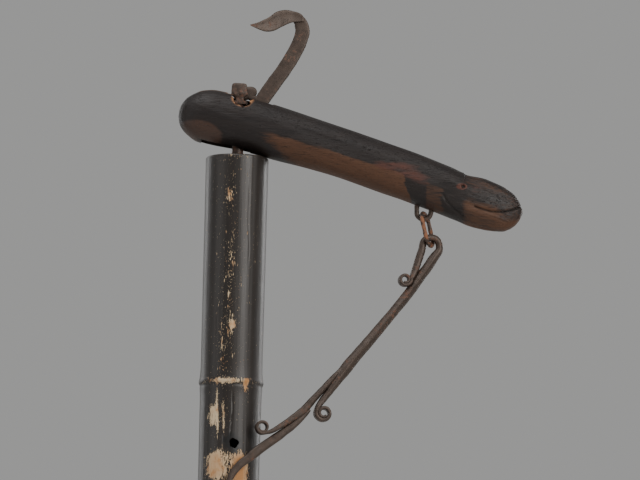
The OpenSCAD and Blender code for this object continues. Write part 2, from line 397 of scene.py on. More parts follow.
def streak_group():
    """Noise stretched by a scale for each axis, as a value and as a hard-edged mask."""
    if "Streaks" in bpy.data.node_groups:
        return bpy.data.node_groups["Streaks"]
    tree, gi, go = group("Streaks", [
        ("Scale", "NodeSocketVector", (100.0, 100.0, 100.0)),
        ("Detail", "NodeSocketFloat", 4.0),
        ("Bias", "NodeSocketFloat", 0.0),
        ("Threshold", "NodeSocketFloat", 0.6),
        ("Edge", "NodeSocketFloat", 0.04)],
        [("Value", "NodeSocketFloat"), ("Mask", "NodeSocketFloat")])
    coord = node(tree, "ShaderNodeTexCoord")
    vec = node(tree, "ShaderNodeVectorMath", {0: coord.outputs["Object"], 1: gi.outputs["Scale"]},
               operation="MULTIPLY")
    noise = node(tree, "ShaderNodeTexNoise", {"Vector": vec.outputs[0], "Scale": 1.0,
                                              "Detail": gi.outputs["Detail"], "Roughness": 0.62})
    raised = calc(tree, "ADD", noise.outputs["Fac"], gi.outputs["Bias"])
    top = calc(tree, "ADD", gi.outputs["Threshold"], gi.outputs["Edge"])
    tree.links.new(noise.outputs["Fac"], go.inputs["Value"])
    tree.links.new(ramp(tree, raised, gi.outputs["Threshold"], top), go.inputs["Mask"])
    return tree


def streaks(tree, scale, detail, bias=0.0, threshold=0.6, edge=0.04):
    """The streak group's value and mask."""
    n = node(tree, "ShaderNodeGroup", {"Scale": scale, "Detail": detail, "Bias": bias,
                                       "Threshold": threshold, "Edge": edge},
             node_tree=streak_group())
    return n.outputs["Value"], n.outputs["Mask"]


def ramp(tree, value, low, high):
    """0 up to low and 1 from high on."""
    inputs = {"Value": value, "From Min": low, "From Max": high}
    return node(tree, "ShaderNodeMapRange", inputs).outputs[0]


def shader(name, **constants):
    """A new material, its tree and its shader node, with the constants on the shader's sockets."""
    mat = bpy.data.materials.new(name)
    mat.use_nodes = True
    bsdf = mat.node_tree.nodes["Principled BSDF"]
    for key, value in constants.items():
        bsdf.inputs[key.replace("_", " ")].default_value = value
    return mat, mat.node_tree, bsdf


def relief(tree, bsdf, height, distance, strength):
    """A bump map from a height."""
    inputs = {"Height": height, "Distance": distance, "Strength": strength}
    bump = node(tree, "ShaderNodeBump", inputs)
    tree.links.new(bump.outputs[0], bsdf.inputs["Normal"])


def bamboo_material(s):
    """Smoked skin over pale bamboo that shows where it is chipped, scraped or raw."""
    mat, t, b = shader("Smoked bamboo", Coat_Weight=0.08, Coat_Roughness=0.3)
    b.inputs["Specular IOR Level"].default_value = 0.42
    skin, chip, scar, raw, soot = (attribute(t, n) for n in ("skin", "chip", "scar", "raw", "soot"))
    fibre, _ = streaks(t, (1500, 1500, 14), 5)
    blotch, _ = streaks(t, (60, 60, 9), 4)
    bias = times(t, chip, 0.42)
    _, flakes = streaks(t, (560, 560, 95), 9, bias, 0.71, 0.02)
    _, specks = streaks(t, (900, 900, 420), 4, bias, 0.715, 0.02)
    _, scrape = streaks(t, (700, 700, 22), 5, times(t, scar, 0.3), 0.76, 0.03)
    bare = calc(t, "MAXIMUM", calc(t, "MAXIMUM", flakes, specks), scrape)
    bare = times(t, bare, calc(t, "SUBTRACT", 1.0, soot, clamp=True))
    dark = blend(t, blotch, tuple(s.lacquer), tuple(s.lacquer_worn))
    dark = blend(t, times(t, fibre, 0.35), dark, (0.0, 0.0, 0.0))
    warm, _ = streaks(t, (90, 90, 60), 4)
    tone = ramp(t, warm, 0.50, 0.68)
    pale = blend(t, tone, tuple(s.flake), tuple(s.flake_warm))
    pale = blend(t, raw, pale, tuple(s.flake_warm))
    line, _ = streaks(t, (1300, 1300, 20), 4)
    pale = blend(t, times(t, line, 0.5), pale, (0.12, 0.06, 0.03))
    inside = blend(t, fibre, (0.10, 0.062, 0.035), (0.035, 0.022, 0.014))
    # A near-black patch is painted round the peg hole, and the flakes are kept out of it above
    outer = blend(t, times(t, soot, 0.9), blend(t, bare, dark, pale), PEG_RING_BLACK)
    t.links.new(blend(t, skin, inside, outer), b.inputs["Base Color"])
    gloss = calc(t, "MULTIPLY_ADD", blotch, 0.26, 0.24)
    gloss = calc(t, "MULTIPLY_ADD", fibre, 0.12, gloss)
    gloss = calc(t, "ADD", gloss, times(t, bare, 0.35))
    t.links.new(calc(t, "MAXIMUM", gloss, times(t, calc(t, "SUBTRACT", 1.0, skin), 0.8)),
                b.inputs["Roughness"])
    height = calc(t, "SUBTRACT", times(t, fibre, 0.35), bare)
    relief(t, b, height, 0.00035, 0.9)
    return mat


def lever_material(s):
    """Sooty wood with its bare, red, polished, fresh and grooved places, and painted shade inside
    the mortise.
    """
    mat, t, b = shader("Carved lever wood")
    b.inputs["Specular IOR Level"].default_value = 0.24
    names = ("bare", "red", "polish", "raw", "groove")
    bare, red, polish, raw, groove = (attribute(t, name) for name in names)
    coarse, _ = streaks(t, (22, 160, 110), 5)
    grain, _ = streaks(t, (34, 900, 620), 6)
    _, pores = streaks(t, (70, 1500, 1100), 3, 0.0, 0.60, 0.06)
    soot = blend(t, coarse, tuple(s.soot), tuple(s.soot_brown))
    wood = blend(t, grain, tuple(s.wood), tuple(s.wood_dark))
    edge = calc(t, "ADD", bare, calc(t, "MULTIPLY_ADD", grain, 1.1, -0.55))
    edge = ramp(t, edge, 0.35, 0.75)
    colour = blend(t, edge, soot, wood)
    patch = calc(t, "ADD", red, calc(t, "MULTIPLY_ADD", coarse, 1.4, -0.7))
    patch = ramp(t, patch, 0.45, 0.8)
    colour = blend(t, patch, colour, tuple(s.red))
    colour = blend(t, polish, colour, tuple(s.polished))
    fresh = blend(t, grain, (0.42, 0.20, 0.085), (0.17, 0.07, 0.03))
    colour = blend(t, raw, colour, fresh)
    colour = blend(t, times(t, pores, 0.6), colour, (0.008, 0.006, 0.005))
    # Near black: the carved gill, mouth and eye lines, and painted shade on the walls inside the
    # mortise
    colour = blend(t, groove, colour, (0.005, 0.004, 0.003))
    t.links.new(colour, b.inputs["Base Color"])
    gloss = calc(t, "MULTIPLY_ADD", coarse, 0.3, 0.32)
    gloss = calc(t, "MULTIPLY_ADD", edge, 0.14, gloss)
    gloss = calc(t, "ADD", gloss, times(t, raw, 0.2))
    t.links.new(calc(t, "SUBTRACT", gloss, times(t, polish, 0.12)), b.inputs["Roughness"])
    height = calc(t, "SUBTRACT", grain, times(t, pores, 0.7))
    relief(t, b, height, 0.0005, 0.8)
    return mat


def iron_material(name, scale_colour, worn, rust, rust_bias):
    """Dark scale rubbed brown, with rusty patches that spread further with a higher bias."""
    mat, t, b = shader(name)
    # How rusty each place is; on the rod's fork it is held at 0 low down, which leaves painted
    # shade in the mortise
    amount = attribute(t, "rust")
    mottle, _ = streaks(t, (180, 180, 180), 6)
    fine, _ = streaks(t, (1400, 1400, 1400), 4)
    bias = calc(t, "MULTIPLY_ADD", amount, 0.34, rust_bias)
    _, patches = streaks(t, (240, 240, 240), 8, bias, 0.66, 0.14)
    _, pits = streaks(t, (800, 800, 800), 3, 0.0, 0.62, 0.05)
    base = blend(t, mottle, scale_colour, worn)
    orange = blend(t, fine, rust, tuple(c * 0.35 for c in rust))
    colour = blend(t, patches, base, orange)
    colour = blend(t, times(t, pits, 0.6), colour, tuple(c * 0.3 for c in scale_colour))
    t.links.new(colour, b.inputs["Base Color"])
    t.links.new(times(t, calc(t, "SUBTRACT", 1.0, patches), 0.55), b.inputs["Metallic"])
    gloss = calc(t, "MULTIPLY_ADD", mottle, 0.25, 0.38)
    t.links.new(calc(t, "MULTIPLY_ADD", patches, 0.25, gloss, clamp=True), b.inputs["Roughness"])
    height = calc(t, "SUBTRACT", calc(t, "MULTIPLY_ADD", patches, 0.5, fine), pits)
    relief(t, b, height, 0.00014, 0.7)
    return mat


# ---- sizes and colours

def colour_prop(name, text, value):
    return bpy.props.FloatVectorProperty(name=name, description=text, default=value,
                                         subtype="COLOR", size=3, min=0, max=1)


def length_prop(name, text, value):
    return bpy.props.FloatProperty(name=name, description=text, default=value, unit="LENGTH", min=0)


def angle_prop(name, text, degrees):
    return bpy.props.FloatProperty(name=name, description=text, default=math.radians(degrees),
                                   subtype="ANGLE", unit="ROTATION")


class TubeSettings(bpy.types.PropertyGroup):
    diameter: length_prop("Diameter", "Outer diameter at the rim", 0.066)
    length: length_prop("Length", "Length of the bamboo", 1.0)
    wall: length_prop("Wall", "Thickness of the wall at the rim", 0.008)
    taper: length_prop("Taper", "How much smaller the radius is at the foot", 0.0035)
    lacquer: colour_prop("Lacquer", "Smoked skin", (0.0055, 0.0048, 0.0045))
    lacquer_worn: colour_prop("Worn lacquer", "Skin where the smoke is thin", (0.022, 0.015, 0.011))
    flake: colour_prop("Flakes", "Bare bamboo in the chips", (0.60, 0.47, 0.30))
    flake_warm: colour_prop("Warm flakes", "Bare bamboo in the deeper chips", (0.42, 0.19, 0.06))


class LeverSettings(bpy.types.PropertyGroup):
    thickness: length_prop("Thickness", "Across the cheeks at the head", 0.046)
    soot: colour_prop("Soot", "Sooty upper half", (0.0065, 0.0062, 0.0070))
    soot_brown: colour_prop("Brown soot", "Thinner soot", (0.019, 0.013, 0.011))
    wood: colour_prop("Wood", "Bare wood on the lower face", (0.100, 0.046, 0.023))
    wood_dark: colour_prop("Dark wood", "Dark grain in the bare wood", (0.030, 0.014, 0.009))
    red: colour_prop("Red patches", "Reddish wood under the soot", (0.060, 0.020, 0.013))
    polished: colour_prop("Polished patch", "Hand-worn patch under the head", (0.052, 0.029, 0.021))


class IronSettings(bpy.types.PropertyGroup):
    wire: length_prop("Staple wire", "Wire diameter of the staples", 0.0052)
    ring_wire: length_prop("Ring wire", "Wire diameter of the chain ring", 0.0044)
    bar: length_prop("Bar", "Width of the brace's main bar across its corners", 0.0106)
    foot_bar: length_prop("Foot bar", "Width of the brace's lower bar", 0.010)
    hook_bar: length_prop("Hook bar", "Width of the pot hook's flat bar", 0.0154)
    hook_plate: length_prop("Hook thickness", "Thickness of the pot hook", 0.0056)
    blade_angle: angle_prop("Blade angle", "How far the blade leans forward", 18)
    scale: colour_prop("Forge scale", "Dark skin of the iron", (0.020, 0.0155, 0.0135))
    worn: colour_prop("Worn iron", "Rubbed, brown iron", (0.084, 0.058, 0.044))
    rust: colour_prop("Rust", "Rust on the forged pieces", (0.132, 0.057, 0.031))
    ring_rust: colour_prop("Ring rust", "Bright rust on the chain ring", (0.24, 0.090, 0.036))


class StageSettings(bpy.types.PropertyGroup):
    floor: colour_prop("Floor", "Pale floor and backdrop", (0.74, 0.73, 0.71))
    distance: length_prop("Camera distance", "From the camera to the object", 5.0)
    span: length_prop("Field", "Width of the camera's field at the object", 0.671)
    climb: angle_prop("Upward look", "How far the camera looks up", 8.5)
    roll: angle_prop("Roll", "Turn of the camera about its view", 1.44)


# ---- tube

# Heights are in millimetres over the rim
NODES_AT = (-238.0, -503.0, -783.0)
SEPTUM = 6.0
GUIDE_R, PINHOLE_R = 6.5, 0.4
PEG_AT, PEG_CUT = (5, -304), (-40, -22)
ROPE_AT, ROPE_R, ROPE_CUT = -975.0, 6, (-50, 50)
# Splits down the skin: degrees round from the front, low end, high end, depth
CRACKS = ((3.0, -300, -246, 0.9), (-11, -350, -262, 0.6), (12, -395, -312, 0.8),
          (-30, -236, -150, 0.35), (26, -120, -30, 0.3), (-150, -420, -300, 0.8),
          (120, -200, -40, 0.6), (170, -700, -560, 0.7))


def node_profile(d):
    """Swell of the skin at distance d above a growth node: its ridge, flare and groove."""
    return 0.8 * bell(d, 0, 2.4) + 0.9 * bell(d, 0, 9) - 0.6 * bell(d, -4.2, 1.2)


def tube_outline(radius, bore, foot_bore, length, taper):
    """Radius and height round the wall: out from the closed septum, up the skin, down the bore."""
    half = SEPTUM / 2
    gate, closed = NODES_AT[0], NODES_AT[2]
    foot = [(PINHOLE_R, closed - half), (foot_bore, closed - half)]
    foot += [(foot_bore, z) for z in np.linspace(closed - 10, -length + 3, 16)]
    foot += [(foot_bore + 0.6, -length + 0.3), (foot_bore + 2, -length)]
    up = np.concatenate([np.linspace(-length, -360, 150), np.linspace(-358.9, -8, 320),
                         np.linspace(-7, -2.2, 6)])
    skin = radius + taper * up / length
    for z in NODES_AT:
        skin = skin + node_profile(up - z)
    lip = [(radius - 0.25, -1.2), (radius - 0.8, -0.5), (radius - 1.8, -0.12), (bore + 2.4, 0.0),
           (bore + 1.0, -0.25), (bore + 0.3, -0.9), (bore, -2.0)]
    inner = [(bore, z) for z in np.linspace(-6, gate + half + 1, 30)]
    inner += [(bore - 1, gate + half), (GUIDE_R + 1, gate + half), (GUIDE_R, gate + half - 1),
              (GUIDE_R, gate - half + 1), (GUIDE_R + 1, gate - half), (bore, gate - half)]
    inner += [(bore, z) for z in np.linspace(gate - 8, closed + half, 30)]
    inner += [(PINHOLE_R, closed + half)]
    return np.array(foot + list(zip(skin, up)) + lip + inner).T


def paint_tube(obj, at, z):
    """Marks on the skin. at is degrees round from the front, towards +X."""
    front = bell(at, -9, 30)
    round_up = np.stack([at, 0 * z, z], 1)
    worn = rough(round_up * (0.5, 1, 1), (16, 1, 60), SEED + 31, 3)
    low_worn = (1 - step(z, -470, -350)) * (0.28 + 0.5 * worn).clip(0, 0.7)
    rings = bell(z, NODES_AT[0] - 1, 3.2) + 0.6 * bell(z, NODES_AT[1], 3)
    # Each mark, then its share of the chips, of the scrapes and of the raw wood
    marks = (
        (1, 0.05, 0, 0),
        (front, 0.10, 0, 0),
        (bell(at + 3 * np.sin(z / 30), -4, 6.5) * between(z, -236, -180, -115, -60), 0.15, 0.42, 0),
        (bell(at, -17, 7) * between(z, -236, -225, -190, -165), 0.16, 0, 0),
        (bell(at, -33, 9) * between(z, -292, -278, -270, -258), 0.66, 0.5, 0),
        (bell(at, -26, 20) * between(z, -350, -332, -318, -302 + 0.25 * at), 0.80, 0.5, 0.5),
        (bell(at, 22, 16) * between(z, -362, -342, -324, -306), 0.98, 0.8, 1.1),
        (bell(at, 29, 5) * between(z, -256, -244, -238, -233), 0.60, 0, 0.7),
        (low_worn, 1, 0.8, 0),
        (rings * (0.20 + 0.80 * front), 0.62, 0, 0),
        (bell(at, 1, 6) * bell(z, -180, 5), 0.62, 0, 0),
        (bell(at, -10, 9) * bell(z, -45, 8), 0.34, 0, 0),
        (bell(at + 2 * np.sin(z / 11), -24, 2.6) * between(z, -300, -292, -252, -245),
         0.45, 0.7, 0),
        (bell(at + 1.5 * np.sin(z / 9), -11, 2.6) * between(z, -300, -285, -262, -254),
         0.42, 0.7, 0),
        (step(z, -9, -2), 0.10, 0, 0))
    for column, name in enumerate(("chip", "scar", "raw"), 1):
        paint(obj, name, sum(mark[column] * mark[0] for mark in marks))
    # A near-black patch with a ragged edge, fading out 7.5 to 10 mm from the peg hole's middle, so
    # the hole looks wider than it is cut
    ragged = 2.4 * rough(round_up, (5, 1, 5), SEED + 33, 2)
    smudge = np.hypot((at * 0.56 - 4) * 0.85, z + 303) + ragged
    paint(obj, "soot", np.where(np.abs(at) < 60, 1 - step(smudge, 7.5, 10.0), 0.0))


def make_tube(s):
    radius, length, taper = s.diameter / MM / 2, s.length / MM, s.taper / MM
    bore = radius - s.wall / MM
    r, z = tube_outline(radius, bore, bore - taper, length, taper)
    ang = circle(260)
    obj = solid("BambooTube", np.stack([np.outer(r, np.cos(ang)), np.outer(r, np.sin(ang)),
                                        np.repeat(z[:, None], len(ang), 1)], axis=2))
    peg = [(PEG_AT[0] + 4.9 * math.cos(a) * (1 + 0.13 * math.sin(3 * a + 1)),
            PEG_AT[1] + 5.2 * math.sin(a) * (1 + 0.1 * math.sin(4 * a))) for a in circle(28)]
    cut(obj, prism(peg, *PEG_CUT))
    rope = [(ROPE_R * math.cos(a), ROPE_AT + ROPE_R * math.sin(a)) for a in circle(36)]
    cut(obj, prism(rope, *ROPE_CUT))
    co, _ = places(obj)
    x, y, z = co.T
    at = np.degrees(np.arctan2(x, -y))
    under_skin = radius + taper * z / length - np.hypot(x, y)
    bend = rough(co, (60, 60, 260), SEED, 2)
    ribs = rough(np.stack([at * 0.6, 0 * z, z], 1), (2.2, 1, 160), SEED + 3, 3)
    cracks = np.zeros(len(z))
    for angle, low, high, depth in CRACKS:
        wander = angle + 1.5 * np.sin(z / 23.0) + 0.8 * np.sin(z / 9.1)
        cracks += depth * between(z, low, low + 14, high - 14, high) * bell(at, wander, 0.9)
    outside = (under_skin < 3) & (z < -1.5)
    push(obj, np.where(outside, 0.15 * bend + 0.07 * ribs - cracks, 0))
    paint(obj, "skin", 1 - step(under_skin, 0.9, 2.2))
    paint_tube(obj, at, z)
    finish(obj, "tube", "bamboo", bamboo_material(s), "bamboo_tube", sharp=50)


# ---- lever

LEVER_TOP = [(-63.2, 43), (-61.6, 52), (-56, 61), (-47.5, 67.3), (-38, 70.8), (-25, 71.2),
             (-10, 68.7), (10, 64.8), (33, 59), (60, 51), (96, 39.6), (130, 29), (165, 17.5),
             (200, 5), (228, -5.5), (241, -10), (252, -12.8), (266, -17.5), (281, -24),
             (291, -31.5), (297, -39), (300, -45), (300.8, -51)]
LEVER_LOW = [(-63.2, 42.8), (-61.4, 34), (-55.5, 26), (-46, 18.3), (-37.5, 15.4), (-26, 13),
             (-13, 10.6), (6, 7.4), (28, 2.2), (52, -3.4), (86, -11.5), (118, -21), (150, -31.8),
             (184, -43.5), (213, -53), (231, -60), (243, -65.3), (256, -68.8), (270, -70.8),
             (281, -70.4), (290, -66.6), (297, -59.5), (300.7, -51.4)]
LEVER_HALF = [0.02, 0.42, 0.70, 0.87, 0.94, 0.99, 1, 1, 0.98, 0.97, 0.95, 0.93, 0.91, 0.89, 0.86,
              0.84, 0.80, 0.74, 0.64, 0.54, 0.42, 0.28, 0.03]
MORTISE = [(-12, 92), (-12, 66), (-40.5, 14), (-50, -4), (13, -4), (13, 5), (38, 60), (38, 92)]
GILL = [(217, -37), (220.5, -43), (227, -49.5), (237, -57)]
MOUTH = [(250, -47.5), (258, -50.2), (268, -52.4), (282, -51.8), (290.5, -49.2), (299.5, -44.5)]
EYE = (237.5, -27.0)
NOTCH_AT, NOTCH_CUT = (4, 61.5), (-40, -9.5)
MORTISE_HALF = 10
GRAIN_RUN, GRAIN_DROP = 0.952, 0.306  # slope of the grain, along the lever


def on_lever(obj, mid, up):
    """X, Y and Z on the lever, the height on its flank from -1 to 1, and places along the grain."""
    co, _ = places(obj)
    x, y, z = co.T
    tilt = (z - np.interp(x, mid[:, 0], mid[:, 1])) / np.interp(x, mid[:, 0], up[:, 1]).clip(4)
    grain = np.stack([x * GRAIN_RUN - z * GRAIN_DROP, y, x * GRAIN_DROP + z * GRAIN_RUN], 1)
    return x, y, z, tilt, grain


def carve(obj, mid, up):
    """Tool marks, the fish's brow, gill, mouth and eye, then the mortise and the chipped notch."""
    x, _, z, tilt, along = on_lever(obj, mid, up)
    facets = rough(along, (46, 15, 12), SEED + 1, 2)
    grain = rough(along, (70, 3.0, 2.2), SEED + 2, 3)
    fine = rough(along, (26, 2.0, 1.6), SEED + 21, 2)
    tail = step(x, 205, 250)
    dip = -1.9 * between(x, 238.5, 240.5, 243, 262) * step(tilt, 0.35, 0.7)
    shelf = -between(x, 224, 239, 239, 240.5) * step(tilt, 0.3, 0.75)
    keel = 0.5 * between(x, 40, 70, 190, 230) * bell(tilt, -0.22, 0.16)
    marks = 0.55 * facets + (0.10 + 0.16 * tail) * grain + 0.22 * tail * fine
    lines = (0.7 * near_line(x, z, GILL, 2.2) + 1.5 * near_line(x, z, MOUTH, 1.7)
             + 2.2 * disc(x, z, EYE, 0.8, 2.9))
    push(obj, between(x, -63, -52, 292, 300.5) * (marks + dip + shelf + keel) - lines)
    cut(obj, prism(MORTISE, -MORTISE_HALF, MORTISE_HALF))
    a = circle(46)
    across = 10.5 * np.cos(a) * (1 + 0.14 * np.sin(5 * a) + 0.09 * np.sin(9 * a + 2))
    high = 9.5 * np.sin(a) * (1 + 0.12 * np.sin(4 * a + 1) + 0.08 * np.sin(11 * a))
    cut(obj, prism(list(zip(NOTCH_AT[0] + across, NOTCH_AT[1] + high)), *NOTCH_CUT))


def paint_lever(obj, mid, up):
    """Bare, red, polished, fresh and grooved places, and painted shade inside the mortise."""
    x, y, z, tilt, along = on_lever(obj, mid, up)
    wander = rough(along, (60, 20, 9), SEED + 4, 3)
    tail = step(x, 228, 244)
    band = (step(x + 12 * wander + 22 * tilt, 4, 44)
            * (1 - step(x + 9 * tilt + 3.0 * wander, 170, 174))
            * (1 - step(tilt + 0.13 * wander, -0.22, -0.04)))
    small = (step(x, 196, 200) * (1 - step(x + 5 * wander, 212, 219))
             * (1 - step(tilt + 0.1 * wander, -0.2, 0.02)))
    belly = between(x, 60, 110, 150, 215) * step(tilt, -0.9, -0.5)
    jaw = tail * (1 - step(tilt + 0.12 * wander, -0.62, -0.30)) * step(x, 226, 240)
    cheek = between(x, 232, 244, 268, 284) * bell(tilt, -0.28, 0.22)
    paint(obj, "bare", 0.72 * band + 0.52 * small + 0.09 * belly
          + 0.52 * tail * (0.70 + 0.45 * wander) + 0.30 * jaw + 0.45 * cheek)
    socket = disc((x + 2) / 1.7, z, (EYE[0] / 1.7, EYE[1]), 2.6, 4.4)
    paint(obj, "red", 0.72 * bell(x, 185, 24) * bell(tilt, 0.15, 0.45)
          + 0.5 * bell(x, 150, 22) * bell(tilt, -0.1, 0.3)
          + 0.45 * bell(x, 35, 16) * bell(tilt, -0.25, 0.35) + 0.25 * tail + 0.8 * socket)
    rubbed = np.hypot((x + 38) / 22.0, (tilt + 0.78) / 0.55) + 0.12 * wander
    paint(obj, "polish", 0.75 * (1 - step(rubbed, 0.80, 1.05)))
    in_mortise = (np.abs(y) < MORTISE_HALF + 0.2) & (x > -43) & (x < 39.5) & (np.abs(tilt) < 1.3)
    core = np.where(in_mortise, 1.0, 0.0)
    chipped = 1 - step(np.hypot(x - 4, (z - 61) * 1.15) + 1.6 * wander, 8.5, 12.5)
    past_mouth = np.maximum(np.abs(y) - MORTISE_HALF - 0.2, np.maximum(-12.3 - x, x - 38.3))
    mouth_edge = (1 - step(past_mouth, 0.2, 2.6)) * step(tilt, 0.6, 0.9)
    paint(obj, "raw", 0.95 * chipped * step(-y, 4, 12) + 0.45 * mouth_edge * (0.5 + wander)
          + 0.10 * core)
    # Painted shade: the walls inside the mortise are painted near black up to near its upper mouth,
    # half as much where the notch is chipped open
    mortise_shade = core * (1 - step(tilt, 0.45, 0.9)) * (1 - 0.5 * chipped)
    paint(obj, "groove", 0.45 * near_line(x, z, GILL, 1.3) + near_line(x, z, MOUTH, 1.3)
          + disc(x, z, EYE, 1.2, 2.6) + 0.8 * mortise_shade)


def make_lever(s):
    steps = 20
    top, low = smooth(LEVER_TOP, steps), smooth(LEVER_LOW, steps)
    half = smooth([(w, 0) for w in LEVER_HALF], steps)[:, 0]
    mid, up = (top + low) / 2, (top - low) / 2
    s_at = np.concatenate([[0], np.cumsum(np.hypot(*np.diff(mid, axis=0).T))])
    want = np.linspace(0, s_at[-1], 430)
    mx, mz, ux, uz, share = (np.interp(want, s_at, a) for a in (*mid.T, *up.T, half))
    wide = s.thickness / MM / 2 * np.clip(share, 0.02, 1)
    corner = 2 / 2.35
    rings = []
    for a in circle(168):
        u, v = bent(math.cos(a), corner), bent(math.sin(a), corner)
        rings.append(np.stack([mx + ux * v, wide * u, mz + uz * v], 1))
    obj = solid("LeverArm", np.stack(rings, axis=1))
    carve(obj, mid, up)
    paint_lever(obj, mid, up)
    finish(obj, "lever", "wood", lever_material(s), "lever_arm", sharp=38)


# ---- staples and chain ring

LEVER_STAPLE = (197.2, 0.0, -52.45)
BEND_R, LEG = 7.5, 20  # radius of a staple's bend, and length of its legs past it
TUBE_STAPLE_OUT = 6.5  # from the brace's foot to the staple's bend, away from the tube
RING_TOP = np.array([196.8, 0.0, -53.65])
RING_END = np.array([205.5, 0.0, -87.95])
RING_HALF, RING_TURN = 9.0, math.radians(22)  # half its width, and its turn about its length
FOOT_AT = np.array([-7.0, -38.5, -358.0])
PLANE_TURN = math.atan2(38.5, 212.5)
ALONG = np.array([math.cos(PLANE_TURN), math.sin(PLANE_TURN), 0.0])
OUTWARD = np.array([math.sin(PLANE_TURN), -math.cos(PLANE_TURN), 0.0])


def iron(settings, kind):
    """The three irons, made once."""
    name = {"forged": "Forged iron", "ring": "Rusted link iron", "rod": "Rusted rod iron"}[kind]
    if name in bpy.data.materials:
        return bpy.data.materials[name]
    rust = tuple(settings.ring_rust if kind == "ring" else settings.rust)
    bias = {"forged": -0.14, "ring": 0.10, "rod": 0.02}[kind]
    return iron_material(name, tuple(settings.scale), tuple(settings.worn), rust, bias)


def staple(name, bend, into, side, legs, wire):
    """A staple whose two legs run into the wood from the two ends of its bend."""
    bend, into, side = (np.array(v, dtype=float) for v in (bend, into, side))
    path = [bend - side * BEND_R + into * h for h in legs]
    path += [bend - BEND_R * (side * math.cos(a) + into * math.sin(a))
             for a in np.linspace(0, math.pi, 26)]
    path += [bend + side * BEND_R + into * h for h in reversed(legs)]
    across = np.abs(np.cross(into, side))
    return solid(name, bar(even(np.array(path), 70), across, wire, wire, 16, 2.6))


def make_staples(s):
    wire = s.wire / MM
    obj = staple("LeverStaple", LEVER_STAPLE, (0, 0, 1), (1, 0, 0), (LEG, 14, 8, 3), wire)
    hammered(obj, 4, 0.14, 0.06, 31)
    finish(obj, "lever", "iron", iron(s, "forged"), "lever_staple")
    bend = FOOT_AT - (0, TUBE_STAPLE_OUT, BEND_R)
    obj = staple("TubeStaple", bend, (0, 1, 0), (0, 0, -1), (LEG - 3, 12, 7, 3), wire)
    hammered(obj, 4, 0.12, 0.05, 37)
    finish(obj, "tube", "iron", iron(s, "forged"), "tube_staple")


def make_ring(s):
    reach = np.linalg.norm(RING_END - RING_TOP)
    down = (RING_END - RING_TOP) / reach
    across = np.array([0.0, 1.0, 0.0])
    side = math.cos(RING_TURN) * across - math.sin(RING_TURN) * np.cross(across, down)
    loop = []
    for first, drop in ((0, RING_HALF), (math.pi, reach - RING_HALF)):
        loop += [RING_TOP + down * (drop - RING_HALF * math.sin(a)) + side * RING_HALF * math.cos(a)
                 for a in np.linspace(first, first + math.pi, 22)]
    loop.append(loop[0])
    path = even(np.array(loop), 121)[:-1]
    t = np.roll(path, -1, 0) - np.roll(path, 1, 0)
    t /= np.linalg.norm(t, axis=1)[:, None]
    face = np.cross(down, side)
    other = np.cross(t, face)
    fat = s.ring_wire / MM / 2 * (1 + 0.06 * np.sin(7 * circle(len(path))))
    rings = [path + (face * math.cos(a) + other * math.sin(a)) * fat[:, None] for a in circle(18)]
    obj = solid("ChainRing", np.stack(rings, axis=1), closed=True)
    hammered(obj, 3.2, 0.16, 0.10, 41)
    finish(obj, "ring", "rusty_iron", iron(s, "ring"), "chain_ring")


# ---- brace

SLANT = 1.0163  # the brace's run along its own plane, for each millimetre of it along X
DRAWN_BAR = 10  # the width in millimetres that the lists below are drawn for
HAIR_AT, HAIR_R = (212.5, 269.7), 9.0
CURL_TOP, CURL_MID, CURL_LOW = (185.8, 233.0), (104.0, 88.6), (41.0, 71.2)
EYE_R = 6.3
# Along each strap: place in the brace's plane, width in it, depth across it, squareness
STRAND = [(192.6, 235, 4.6, 9.2, 4), (195.4, 241, 6.6, 8, 3), (198.8, 251, 7.8, 7.6, 2.4),
          (201.4, 260, 8, 7.6, 2.2), (203.2, 266, 7.8, 7.6, 2.2)]
MAIN_BAR = [(220.9, 265, 7.9, 7.9, 1.9), (216.3, 258.4, 9.2, 8.8, 1.6),
            (209.4, 247.6, 9.8, 9.6, 1.4), (186.8, 214.4, 9.7, 9.8, 1.3),
            (172.3, 195.5, 9.4, 9.8, 1.3), (151.8, 168.8, 10.4, 10, 1.3),
            (137, 150.6, 11, 10, 1.35), (126.2, 136.2, 11.6, 10, 1.5),
            (117.4, 123.6, 9.8, 9.6, 1.8), (109.4, 111.4, 7.4, 8.6, 2.2),
            (102.4, 101.6, 6.4, 8.8, 2.8), (98.2, 95.6, 5.2, 10, 3.4)]
TONGUE = [(121.5, 136.5, 2.5, 5, 2), (116.8, 130.6, 4.8, 7, 1.8), (112.3, 125, 6.2, 8, 1.7),
          (103.1, 114, 6.5, 8.2, 1.8), (95.1, 105, 7, 8, 1.9), (83.1, 90.8, 8.4, 7.4, 2.4),
          (69, 79.6, 6.6, 7.4, 2.8), (56.3, 70.8, 5.2, 8.6, 3.2), (50, 67.2, 4.4, 9.4, 3.6)]
FOOT_BAR = [(89.5, 91.5, 3, 5, 2.4), (82.6, 84.2, 6, 6.4, 2.6), (73.2, 74.7, 7.2, 7, 2.6),
            (60.5, 64.8, 8.8, 7, 2.6), (41.8, 50.5, 9.8, 6.8, 2.8), (28, 38.8, 9, 6.8, 2.8),
            (19, 31.2, 8.4, 6.6, 2.8), (11.6, 21.5, 7.4, 6.4, 3), (8.2, 12.5, 6, 6.2, 3.2)]


def lay(q, out=0.0):
    """Points of the brace's upright plane as points of the model."""
    pts = FOOT_AT + q[:, :1] * SLANT * ALONG + out * OUTWARD
    pts[:, 2] += q[:, 1]
    return pts


def scroll(centre, r_in, r_out, start, turns, band, depth):
    """A coil from start degrees into its middle: clockwise, or the other way for negative turns."""
    out = []
    for t in np.arange(46) / 45:
        a = math.radians(start - 360 * turns * t)
        r = r_out + (r_in - r_out) * t ** 0.9
        out.append((centre[0] + r * math.cos(a) / SLANT, centre[1] + r * math.sin(a),
                    band[0] + (band[1] - band[0]) * t, depth, 4))
    return out


